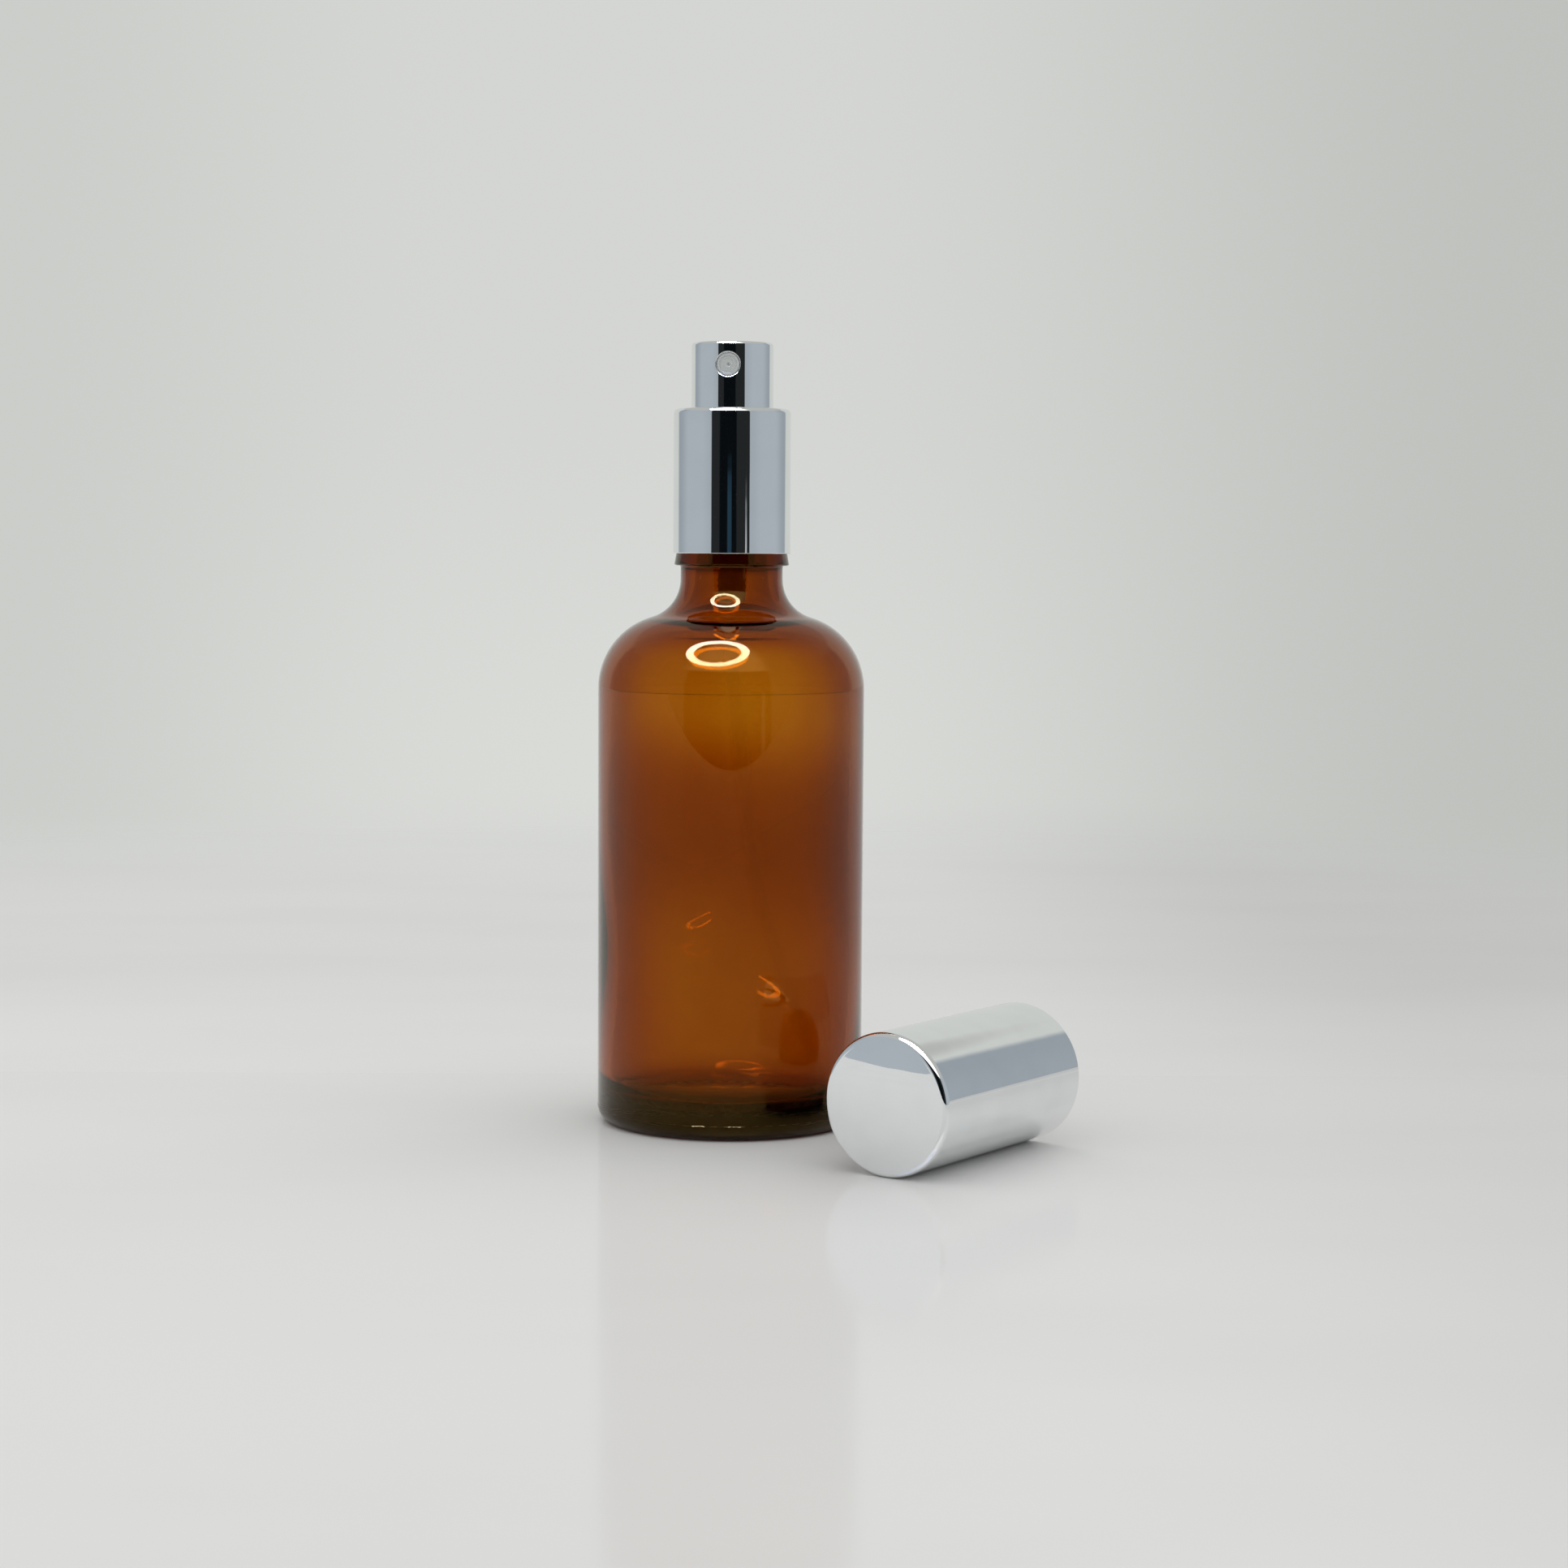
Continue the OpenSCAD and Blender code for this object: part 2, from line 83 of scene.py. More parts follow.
# Camera, in a frame turned with the view: X to its right, Y away from it
VIEW_TURN = math.radians(6.3)
EYE = Vector((0.0031, -0.5565, 0.1031))
EYE_YAW = 0.0114
EYE_PITCH = 0.0773
EYE_ROLL = 0.0058
LENS_MM = 72.27
SENSOR_MM = 36.0
CLIP_START = 0.01

TO_VIEW = Matrix.Rotation(VIEW_TURN, 4, "Z")


# ---- Sizes, in millimetres ----


def box_mm(node):
    """Lowest and highest corners of a CAD node, in millimetres."""
    low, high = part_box(node)
    return low / MM, high / MM


def mount(name):
    """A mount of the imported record."""
    return next(m for m in frame["record"]["mounts"] if m["name"] == name)


# ---- Outlines ----


def arc(centre, radius, start, end, steps):
    """Points on an arc, with its angles in degrees from +radius toward +height."""
    turns = [math.radians(start + (end - start) * i / steps) for i in range(steps + 1)]
    return [(centre[0] + radius * math.cos(a), centre[1] + radius * math.sin(a)) for a in turns]


def line(start, end, steps):
    """Evenly spaced points from start to end."""
    shares = [i / steps for i in range(steps + 1)]
    return [(start[0] + (end[0] - start[0]) * s, start[1] + (end[1] - start[1]) * s) for s in shares]


def rounded(corners, steps=4):
    """A closed outline from (radius, height, rounding) corners, with an arc at each rounded corner."""
    points = []
    count = len(corners)
    for i, (r, z, rounding) in enumerate(corners):
        here = Vector((r, z))
        if rounding <= 0:
            points.append((r, z))
            continue
        before = (Vector(corners[i - 1][:2]) - here).normalized()
        after = (Vector(corners[(i + 1) % count][:2]) - here).normalized()
        half = math.acos(max(-1.0, min(1.0, before.dot(after)))) / 2
        reach = rounding / math.tan(half)
        centre = here + (before + after).normalized() * (rounding / math.sin(half))
        first = (here + before * reach - centre).normalized()
        last = (here + after * reach - centre).normalized()
        for k in range(steps + 1):
            point = centre + first.slerp(last, k / steps) * rounding
            points.append((point.x, point.y))
    return points


# ---- Meshes ----


def finish_mesh(name, bm):
    """Makes an object of a bmesh, smooth except at its sharp edges."""
    bmesh.ops.remove_doubles(bm, verts=bm.verts, dist=MERGE_DISTANCE)
    bmesh.ops.recalc_face_normals(bm, faces=bm.faces)
    for face in bm.faces:
        face.smooth = True
    mesh = bpy.data.meshes.new(name)
    bm.to_mesh(mesh)
    bm.free()
    mesh.set_sharp_from_angle(angle=SHARP_ANGLE)
    piece = bpy.data.objects.new(name, mesh)
    bpy.context.scene.collection.objects.link(piece)
    return piece


def braced(path, closed):
    """The path with an extra point at each end of a straight stretch that meets a much shorter one.

    Shading then stays flat along the stretch instead of bending toward the rounded corner beside it.
    """
    points = []
    count = len(path)
    for i in range(count if closed else count - 1):
        start, end = Vector(path[i]), Vector(path[(i + 1) % count])
        length = (end - start).length
        points.append(path[i])
        if length < 5 * BRACE:
            continue
        step = (end - start) * BRACE / length
        if math.dist(path[i - 1], path[i]) < length / 3:
            points.append(tuple(start + step))
        if math.dist(path[(i + 1) % count], path[(i + 2) % count]) < length / 3:
            points.append(tuple(end - step))
    return points if closed else points + path[-1:]


def even_angles(count=SEGMENTS):
    return [2 * math.pi * i / count for i in range(count)]


def turn(name, path, closed=False, shape=None, place=Matrix.Identity(4), angles=None):
    """Turns a path of (radius, height) points around the Z axis.

    An open path begins and ends on the axis. shape(radius, height, angle) may move a point, and place
    carries the finished form from its own upright frame to where it belongs, in metres.
    """
    angles = angles or even_angles()
    count = len(angles)
    bm = bmesh.new()
    rings = []
    for r, z in braced(path, closed):
        if r < ON_AXIS:
            rings.append([bm.verts.new(place @ Vector((0, 0, z * MM)))])
            continue
        ring = []
        for a in angles:
            rr, zz = shape(r, z, a) if shape else (r, z)
            spot = Vector((rr * math.cos(a) * MM, rr * math.sin(a) * MM, zz * MM))
            ring.append(bm.verts.new(place @ spot))
        rings.append(ring)
    pairs = list(zip(rings, rings[1:]))
    if closed:
        pairs.append((rings[-1], rings[0]))
    for low, high in pairs:
        for i in range(count):
            j = (i + 1) % count
            if len(low) == 1 and len(high) == 1:
                continue
            if len(low) == 1:
                bm.faces.new((low[0], high[i], high[j]))
            elif len(high) == 1:
                bm.faces.new((low[i], low[j], high[0]))
            else:
                bm.faces.new((low[i], low[j], high[j], high[i]))
    return finish_mesh(name, bm)


def smoothstep(low, high, value):
    share = max(0.0, min(1.0, (value - low) / (high - low)))
    return share * share * (3 - 2 * share)


def stand_for(piece, node, material):
    """The piece takes the place of a CAD node, on that node's body, with a material."""
    piece.data.materials.append(material)
    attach(piece, frame["nodes"][node]["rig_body"])
    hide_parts(node)


# ---- Materials ----


class Tree:
    """A short way to write a node tree."""

    def __init__(self, owner):
        owner.use_nodes = True
        self.nodes = owner.node_tree.nodes
        self.links = owner.node_tree.links
        self.nodes.clear()

    def add(self, kind, inputs=None, **settings):
        """Adds a shader node. An input is a number, a colour or another node's output."""
        node = self.nodes.new("ShaderNode" + kind)
        for key, value in settings.items():
            setattr(node, key, value)
        for key, value in (inputs or {}).items():
            socket = node.inputs[key]
            if isinstance(value, bpy.types.NodeSocket):
                self.links.new(value, socket)
            else:
                socket.default_value = value
        return node

    def math(self, operation, a, b=0.0, c=0.0):
        return self.add("Math", {0: a, 1: b, 2: c}, operation=operation).outputs[0]

    def step(self, value, low, high):
        """0 below low and 1 above high, with a smooth change between."""
        inputs = {"Value": value, "From Min": low, "From Max": high}
        return self.add("MapRange", inputs, interpolation_type="SMOOTHSTEP").outputs[0]

    def mix(self, share, a, b):
        """Colour a where share is 0, and b where it is 1."""
        node = self.add("Mix", data_type="RGBA")
        for socket, value in zip((node.inputs[0], node.inputs[6], node.inputs[7]), (share, a, b)):
            if isinstance(value, bpy.types.NodeSocket):
                self.links.new(value, socket)
            else:
                socket.default_value = value
        return node.outputs[2]

    def noise(self, scale, detail=2.0, stretch=(1, 1, 1)):
        """Noise over the object, where scale is in cells per metre."""
        place = self.add("TexCoord").outputs["Object"]
        place = self.add("Mapping", {"Vector": place, "Scale": stretch}).outputs[0]
        return self.add("TexNoise", {"Vector": place, "Scale": scale, "Detail": detail}).outputs["Fac"]

    def bump(self, height, strength, distance):
        inputs = {"Height": height, "Strength": strength, "Distance": distance}
        return self.add("Bump", inputs).outputs[0]

    def output(self, surface, volume=None):
        out = self.add("OutputMaterial", {"Surface": surface})
        if volume:
            self.links.new(volume, out.inputs["Volume"])


def band(tree, value, low, high, soft):
    """1 between low and high, and 0 outside, with soft edges."""
    rise = tree.step(value, low - soft, low + soft)
    fall = tree.step(value, high - soft, high + soft)
    return tree.math("MULTIPLY", rise, tree.math("SUBTRACT", 1.0, fall))


def rgba(r, g, b):
    return (r, g, b, 1.0)


def material(name):
    """A new material and the tree to write its nodes in."""
    made = bpy.data.materials.new(name)
    return made, Tree(made)


# Where the glass darkens, in metres of height: where that begins, where it is full, and by how much
LOWER_BODY_TONE = (0.074, 0.058, 0.42)
# Painted shade over the upper shoulder and neck, and more from the bead up
SHOULDER_PAINTED_SHADE = (0.084, 0.092, 0.7)
BEAD_PAINTED_SHADE = (0.097, 0.0985, 0.8)
FOOT_TONE = (0.0055, 0.003, 0.9)
BELT_TONE = (0.038, 0.060, 0.4)
BELT_SOFT = 0.012
# Painted shade toward the glass's sides, by how far it turns from the view: where it begins, where it is
# full, and by how much
SIDE_PAINTED_SHADE = (0.1, 0.75, 0.6)
AMBER_SURFACE = rgba(0.6, 0.345, 0.1)
AMBER_SHINE = rgba(1.0, 0.6, 0.16)
AMBER_DEPTH = rgba(0.877, 0.668, 0.02)
AMBER_DENSITY = 1150.0


def amber_glass():
    """Clear amber glass. Its colour comes mostly from the depth of glass that light passes through.

    Its surface also tints the light: darker in a belt around the body, over the lower body, at its foot and
    in random blotches, with painted shade toward its sides and over its upper shoulder, neck and bead.
    """
    made, tree = material("amber_glass")
    ripples = tree.noise(60, 1.0, (1, 1, 0.5))
    haze = tree.step(tree.noise(260, 3.0), 0.3, 1.0)
    roughness = tree.math("MULTIPLY_ADD", haze, 0.015, 0.002)
    place = tree.add("SeparateXYZ", {"Vector": tree.add("TexCoord").outputs["Object"]})
    height = place.outputs["Z"]
    belt_low, belt_high, belt_share = BELT_TONE
    belt = band(tree, height, belt_low, belt_high, BELT_SOFT)
    depth = tree.math("MULTIPLY", belt, belt_share)
    # Darker over the lower body and at the foot, and painted shade over the upper shoulder, neck and bead
    for start, full, share in (LOWER_BODY_TONE, SHOULDER_PAINTED_SHADE, BEAD_PAINTED_SHADE, FOOT_TONE):
        depth = tree.math("MULTIPLY_ADD", tree.step(height, start, full), share, depth)
    # Painted shade: the glass darkens toward its sides, where it turns away from the view
    facing = tree.add("LayerWeight", {"Blend": 0.5}).outputs["Facing"]
    start, full, share = SIDE_PAINTED_SHADE
    depth = tree.math("MULTIPLY_ADD", tree.step(facing, start, full), share, depth)
    blotches = tree.step(tree.noise(45, 2.0, (1, 1, 0.6)), 0.35, 0.75)
    depth = tree.math("MULTIPLY_ADD", blotches, 0.2, depth)
    tone = tree.add("Gamma", {"Color": AMBER_SURFACE, "Gamma": depth}).outputs[0]
    surface = tree.add("BsdfPrincipled", {
        "Base Color": tone,
        "Roughness": roughness,
        "IOR": 1.52,
        "Specular Tint": AMBER_SHINE,
        "Transmission Weight": 1.0,
        "Normal": tree.bump(ripples, 0.05, 0.0003),
    })
    volume = tree.add("VolumeAbsorption", {"Color": AMBER_DEPTH, "Density": AMBER_DENSITY})
    tree.output(surface.outputs[0], volume.outputs[0])
    return made


def bright_metal(name, base=(0.90, 0.91, 0.92)):
    """Mirror-polished, anodised aluminium with the faint haze and hairlines of handling."""
    made, tree = material(name)
    haze = tree.step(tree.noise(140, 4.0), 0.35, 0.8)
    hairlines = tree.step(tree.noise(900, 2.0, (1, 1, 0.06)), 0.5, 0.75)
    roughness = tree.math("MULTIPLY_ADD", haze, 0.015, 0.02)
    roughness = tree.math("MULTIPLY_ADD", hairlines, 0.015, roughness)
    tone = tree.mix(haze, rgba(*base), rgba(*(0.96 * c for c in base)))
    ripple = tree.noise(160, 1.0)
    surface = tree.add("BsdfPrincipled", {
        "Base Color": tone,
        "Metallic": 1.0,
        "Roughness": roughness,
        "Normal": tree.bump(ripple, 0.06, 0.0002),
    })
    tree.output(surface.outputs[0])
    return made


def moulded_plastic(name, base, roughness=0.35, clear=0.0, translucent=0.15, grain=0.15):
    """Moulded plastic with a fine skin, slight mottling and light that carries under its surface."""
    made, tree = material(name)
    mottle = tree.noise(300, 3.0)
    skin = tree.noise(5000, 2.0)
    tone = tree.mix(mottle, rgba(*base), rgba(*(0.93 * c for c in base)))
    surface = tree.add("BsdfPrincipled", {
        "Base Color": tone,
        "Roughness": tree.math("MULTIPLY_ADD", mottle, 0.12, roughness - 0.06),
        "Subsurface Weight": translucent,
        "Subsurface Radius": (1.0, 0.9, 0.8),
        "Subsurface Scale": 0.001,
        "Transmission Weight": clear,
        "Normal": tree.bump(skin, grain, 0.00002),
    })
    tree.output(surface.outputs[0])
    return made


def soft_rubber(name, base):
    """Dull, fine-grained rubber or foam."""
    made, tree = material(name)
    grain = tree.noise(2500, 4.0)
    tone = tree.mix(grain, rgba(*base), rgba(*(0.7 * c for c in base)))
    surface = tree.add("BsdfPrincipled", {
        "Base Color": tone,
        "Roughness": tree.math("MULTIPLY_ADD", grain, 0.2, 0.6),
        "Normal": tree.bump(grain, 0.4, 0.00005),
    })
    tree.output(surface.outputs[0])
    return made


def drawn_steel():
    """Bright spring wire with fine lines along its length."""
    made, tree = material("drawn_steel")
    lines = tree.noise(3000, 2.0, (1, 1, 3))
    surface = tree.add("BsdfPrincipled", {
        "Base Color": tree.mix(lines, rgba(0.62, 0.63, 0.65), rgba(0.48, 0.48, 0.5)),
        "Metallic": 1.0,
        "Roughness": tree.math("MULTIPLY_ADD", lines, 0.15, 0.18),
    })
    tree.output(surface.outputs[0])
    return made


def clear_tube():
    """Natural, see-through tube with a slight milkiness."""
    made, tree = material("clear_tube")
    milk = tree.noise(500, 2.0, (1, 1, 0.2))
    surface = tree.add("BsdfPrincipled", {
        "Base Color": rgba(0.97, 0.97, 0.95),
        "Roughness": tree.math("MULTIPLY_ADD", milk, 0.1, 0.12),
        "IOR": 1.45,
        "Alpha": tree.math("MULTIPLY_ADD", milk, 0.02, 0.02),
    })
    tree.output(surface.outputs[0])
    return made


glass = amber_glass()
metal = bright_metal("bright_metal")
white_plastic = moulded_plastic("white_plastic", (0.86, 0.86, 0.85))
pump_plastic = moulded_plastic("pump_plastic", (0.72, 0.72, 0.70), roughness=0.3, clear=0.35,
                               translucent=0.3)
liner_plastic = moulded_plastic("liner_plastic", (0.82, 0.82, 0.81), roughness=0.28)
nozzle_plastic = moulded_plastic("nozzle_plastic", (0.62, 0.645, 0.64), roughness=0.26, grain=0.03)
valve_plastic = moulded_plastic("valve_plastic", (0.78, 0.74, 0.62), roughness=0.45)
piston_plastic = moulded_plastic("piston_plastic", (0.74, 0.79, 0.82), roughness=0.4)
gasket_foam = soft_rubber("gasket_foam", (0.78, 0.78, 0.75))
seal_rubber = soft_rubber("seal_rubber", (0.03, 0.03, 0.032))
steel = drawn_steel()
tube_plastic = clear_tube()

NODE_MATERIALS = {
    "closure": white_plastic,
    "neck_gasket": gasket_foam,
    "pump_housing": pump_plastic,
    "turret": pump_plastic,
    "stem_seal": seal_rubber,
    "stem": pump_plastic,
    "plunger": valve_plastic,
    "piston": piston_plastic,
    "spring_seat": pump_plastic,
    "check_ball": steel,
    "dip_tube": tube_plastic,
    "actuator_core": white_plastic,
    "overcap_liner": liner_plastic,
}
for node_name, node_material in NODE_MATERIALS.items():
    for material_slot in frame["nodes"][node_name].material_slots:
        material_slot.material = node_material


# ---- Bottle ----

bottle_high = box_mm("bottle")[1]
BODY_R = bottle_high.x
MOUTH_Z = bottle_high.z
WALL = 2.5
SHOULDER = (10.3, 76.84)
SHOULDER_R = 13.2
NECK_R = 9.0
FILLET = (16.0, 96.22)
FILLET_R = 7.0
FLARE = math.degrees(math.atan2(FILLET[1] - SHOULDER[1], FILLET[0] - SHOULDER[0]))
HEEL_R = 2.8
FOOT_R = 16.0
FOOT_STEP = 0.3
PUSH_UP = 1.2
BASE_T = 4.2
DOME_R = (FOOT_R**2 + PUSH_UP**2) / (2 * PUSH_UP)
DOME_HALF = math.degrees(math.asin(FOOT_R / DOME_R))
FLOOR_R = DOME_R + BASE_T
FLOOR_HALF = math.degrees(math.asin(FOOT_R / FLOOR_R))
FLOOR_EDGE_Z = PUSH_UP - DOME_R + math.sqrt(FLOOR_R**2 - FOOT_R**2)
INNER_HEEL_R = 5.0
SHOULDER_TOP = (BODY_R, SHOULDER[1])
BEAD_Z = 98.6
BEAD_R = 10.1
BEAD_H = 2.0
BEAD_EDGE_R = 0.3
MOUTH_EDGE_R = 0.6
MOUTH_BORE_R = 0.4
THREAD_ROOT = 7.9
THREAD_DEPTH = 1.0
THREAD_PITCH = 3.0
THREAD_TURNS = 1.5
THREAD_Z = BEAD_Z + 6.6
THREAD_LOW = BEAD_Z + 5.0
BORE_R = 5.9
SEAM_HEIGHT = 0.05
SEAM_W = 0.22
SEAM_STEP = 0.11
SEAMS = (VIEW_TURN, VIEW_TURN + math.pi)
SEAM_ROOM = 0.03
KNURLS = 48
KNURL_DEPTH = 0.12
WALL_WAVE = 0.18
WALL_SWELL = 0.16
RIDGE_TOP = 0.35
RIDGE_FOOT = 0.95
EDGE = 0.001
NEAR = 0.01


def bottle_path():
    """The outline from the middle of the base, up the outside, over the lip and down the inside."""
    inner_r = BODY_R - WALL
    dome_centre = (0, PUSH_UP - DOME_R)
    path = arc(dome_centre, DOME_R, 90, 90 - DOME_HALF, 8)
    path += line((FOOT_R + FOOT_STEP, 0), (BODY_R - HEEL_R, 0), 3)
    path += arc((BODY_R - HEEL_R, HEEL_R), HEEL_R, -84, 0, 8)
    path += line((BODY_R, HEEL_R), SHOULDER_TOP, 24)[1:]
    path += arc(SHOULDER, SHOULDER_R, 0, FLARE, 24)[1:]
    path += arc(FILLET, FILLET_R, 180 + FLARE, 180, 16)[1:]
    path += [(NECK_R, BEAD_Z - 0.3), (NECK_R + 0.1, BEAD_Z - 0.06), (NECK_R + 0.3, BEAD_Z)]
    path += arc((BEAD_R - BEAD_EDGE_R, BEAD_Z + BEAD_EDGE_R), BEAD_EDGE_R, -90, 0, 4)
    path += arc((BEAD_R - 2 * BEAD_EDGE_R, BEAD_Z + BEAD_H), BEAD_EDGE_R, 5, 75, 4)
    path += [(THREAD_ROOT + 0.3, BEAD_Z + 2.55), (THREAD_ROOT, BEAD_Z + 2.9)]
    path += line((THREAD_ROOT, THREAD_LOW), (THREAD_ROOT, MOUTH_Z - 0.9), 44)
    path += arc((THREAD_ROOT - MOUTH_EDGE_R, MOUTH_Z - MOUTH_EDGE_R), MOUTH_EDGE_R, 0, 90, 5)
    path += arc((BORE_R + MOUTH_BORE_R, MOUTH_Z - MOUTH_BORE_R), MOUTH_BORE_R, 90, 180, 4)
    path += [(BORE_R, BEAD_Z + 2.5), (NECK_R - WALL - 0.1, BEAD_Z - 0.2)]
    path += arc(FILLET, FILLET_R + WALL, 180, 180 + FLARE, 16)
    path += arc(SHOULDER, SHOULDER_R - WALL, FLARE, 0, 20)[1:]
    path += line((inner_r, SHOULDER[1]), (inner_r, FLOOR_EDGE_Z + INNER_HEEL_R), 24)[1:]
    path += arc((FOOT_R, FLOOR_EDGE_Z + INNER_HEEL_R), INNER_HEEL_R, 0, -82, 10)[1:]
    path += arc(dome_centre, FLOOR_R, 90 - FLOOR_HALF, 90, 8)
    path[0] = (0, path[0][1])
    path[-1] = (0, path[-1][1])
    return path


def thread_height(z, angle):
    """How far the screw thread stands out at a height and angle."""
    highest = 0.0
    for lap in range(2):
        turned = angle / (2 * math.pi) + lap
        if turned > THREAD_TURNS:
            continue
        away = abs(z - (THREAD_Z + THREAD_PITCH * turned))
        run_out = min(1.0, turned * 6, (THREAD_TURNS - turned) * 6)
        ridge = 1.0 - smoothstep(RIDGE_TOP, RIDGE_FOOT, away)
        highest = max(highest, THREAD_DEPTH * run_out * ridge)
    return highest


def glass_shape(r, z, angle):
    """The slight unevenness of moulded glass: wall thickness, mould seams, foot knurls and the thread."""
    on_foot = z < NEAR and r > FOOT_R
    if on_foot:
        middle = math.sin(math.pi * (r - FOOT_R) / (BODY_R - HEEL_R - FOOT_R))
        return r, KNURL_DEPTH * max(0.0, middle) * max(0.0, math.sin(KNURLS * angle))
    inside = r < BODY_R - WALL / 2 and z < SHOULDER[1] and r > FOOT_R + 1 and z > FLOOR_EDGE_Z
    if inside:
        calm = smoothstep(SHOULDER[1] + 1, SHOULDER[1] - 14, z) * smoothstep(FOOT_R, BODY_R - WALL, r)
        wave = math.sin(2 * angle + 0.07 * z) + 0.6 * math.sin(3 * angle - 0.11 * z + 1.3)
        thick = WALL_WAVE * wave + WALL_SWELL * math.sin(0.14 * z + angle + 0.8)
        return r - calm * thick, z
    on_finish = r >= THREAD_ROOT - EDGE and THREAD_LOW - EDGE < z < MOUTH_Z - 0.7
    if on_finish:
        return r + thread_height(z, angle), z
    on_wall = r > NECK_R - EDGE and HEEL_R < z < BEAD_Z - 0.5
    if on_wall:
        seam = max(math.exp(-(((angle - a) * r / SEAM_W) ** 2)) for a in SEAMS)
        return r + SEAM_HEIGHT * (seam - 1.0), z
    return r, z


def glass_angles():
    """Even steps around the bottle, and finer ones across each mould seam."""
    fine = [k * SEAM_STEP / BODY_R for k in (-5, -3, -2, -1, 0, 1, 2, 3, 5)]
    angles = [a for a in even_angles() if all(abs(a - s) > SEAM_ROOM for s in SEAMS)]
    return sorted(angles + [s + k for s in SEAMS for k in fine])


bottle = turn("bottle_glass", bottle_path(), shape=glass_shape, angles=glass_angles())
stand_for(bottle, "bottle", glass)


# ---- Collar and actuator ----

collar_low, collar_high = box_mm("collar_shell")
head_low, head_high = box_mm("actuator_shell")
nozzle_low, nozzle_high = box_mm("nozzle_insert")
SHELL = 0.45
CUT_EDGE = 0.12
LIP = 0.2
COLLAR_EDGE_R = 0.85
HEAD_EDGE_R = 0.55
HEAD_TOP_CENTRE = 1.0
HEAD_TOP_MARGIN = 0.4
HEAD_INNER_BEVEL = 0.2
GUIDE_GAP = 0.3
NOZZLE_Z = (nozzle_low.z + nozzle_high.z) / 2
NOZZLE_R = (nozzle_high.z - nozzle_low.z) / 2
HOLE_R = NOZZLE_R + 0.16
LIP_R = 0.12
LIP_DEPTH = 0.3
CUTTER_DEPTHS = (4.0, 9.0)
CUTTER_SIDES = 97


def shell_corners(radius, low, high, edge, hole):
    """The cut-through outline of a drawn metal shell, as corners for rounded()."""
    return [
        (radius, low, CUT_EDGE), (radius, high, edge), (hole, high, LIP), (hole, high - SHELL, LIP),
        (radius - SHELL, high - SHELL, edge - SHELL + 0.05), (radius - SHELL, low, CUT_EDGE),
    ]


def collar_path():
    hole = head_high.x + GUIDE_GAP
    return rounded(shell_corners(collar_high.x, collar_low.z, collar_high.z, COLLAR_EDGE_R, hole), 8)


collar = turn("collar_metal", collar_path(), closed=True)
stand_for(collar, "collar_shell", metal)


def head_path():
    """The actuator's shell, open at its foot and closed by its top."""
    r, low, high = head_high.x, head_low.z, head_high.z
    path = [(0, high)]
    path += line((HEAD_TOP_CENTRE, high), (r - HEAD_EDGE_R - HEAD_TOP_MARGIN, high), 4)
    path += arc((r - HEAD_EDGE_R, high - HEAD_EDGE_R), HEAD_EDGE_R, 90, 0, 10)
    path += line((r, high - HEAD_EDGE_R), (r, low + CUT_EDGE), 12)[1:]
    path += arc((r - CUT_EDGE, low + CUT_EDGE), CUT_EDGE, 0, -90, 4)[1:]
    path += arc((r - SHELL + CUT_EDGE, low + CUT_EDGE), CUT_EDGE, -90, -180, 4)
    path += line((r - SHELL, low + CUT_EDGE), (r - SHELL, high - SHELL - HEAD_INNER_BEVEL), 12)[1:]
    path += [(r - SHELL - HEAD_INNER_BEVEL, high - SHELL), (0, high - SHELL)]
    return path


def radial_normals(piece, radius):
    """Gives the round outer wall its true normals, so that its reflections run on past the nozzle."""
    mesh = piece.data
    normals = [Vector((0, 0, 0))] * len(mesh.loops)
    for face in mesh.polygons:
        outward = Vector((face.center.x, face.center.y, 0)).normalized()
        on_wall = all(abs(mesh.vertices[v].co.xy.length / MM - radius) < NEAR for v in face.vertices)
        if not on_wall or abs(face.normal.dot(outward)) < 0.9:
            continue
        for k in face.loop_indices:
            spot = mesh.vertices[mesh.loops[k].vertex_index].co
            normals[k] = Vector((spot.x, spot.y, 0)).normalized()
    mesh.normals_split_custom_set([tuple(n) for n in normals])


def cut(piece, cutter):
    """Cuts the cutter's form out of the piece and removes the cutter."""
    change = piece.modifiers.new("cut", "BOOLEAN")
    change.object = cutter
    change.operation = "DIFFERENCE"
    change.solver = "EXACT"
    bpy.context.view_layer.update()
    evaluated = piece.evaluated_get(bpy.context.evaluated_depsgraph_get())
    mesh = bpy.data.meshes.new_from_object(evaluated)
    piece.modifiers.clear()
    piece.data = mesh
    bpy.data.objects.remove(cutter)
    for face in mesh.polygons:
        face.use_smooth = True
    mesh.set_sharp_from_angle(angle=SHARP_ANGLE)


def facing_front(z):
    """The place of a turned form whose own +Z points toward the front, -Y, at a height."""
    return Matrix.Translation((0, 0, z * MM)) @ Matrix.Rotation(math.pi / 2, 4, "X")


def hole_cutter(radius, inner, outer):
    """A plug along the front direction that opens a round hole between two depths.

    Its odd number of sides keeps its corners off the edges of the wall that it cuts.
    """
    path = [(0, inner), (radius, inner), (radius, outer), (0, outer)]
    return turn("hole_cutter", path, place=facing_front(NOZZLE_Z), angles=even_angles(CUTTER_SIDES))


def lip_path():
    """The edge of the nozzle's hole, drawn inward; depth grows toward the front."""
    face = head_high.x
    path = arc((HOLE_R + LIP_R, face - LIP_R), LIP_R, 90, 180, 6)
    path += [(HOLE_R, face - SHELL - LIP_DEPTH), (HOLE_R + LIP_R, face - SHELL - LIP_DEPTH)]
    return path


def on_cylinder(r, depth, angle):
    """Sets a form that points to the front back by the curve of the actuator's round wall."""
    radius = head_high.x
    return r, depth - radius + math.sqrt(radius**2 - (r * math.cos(angle)) ** 2)


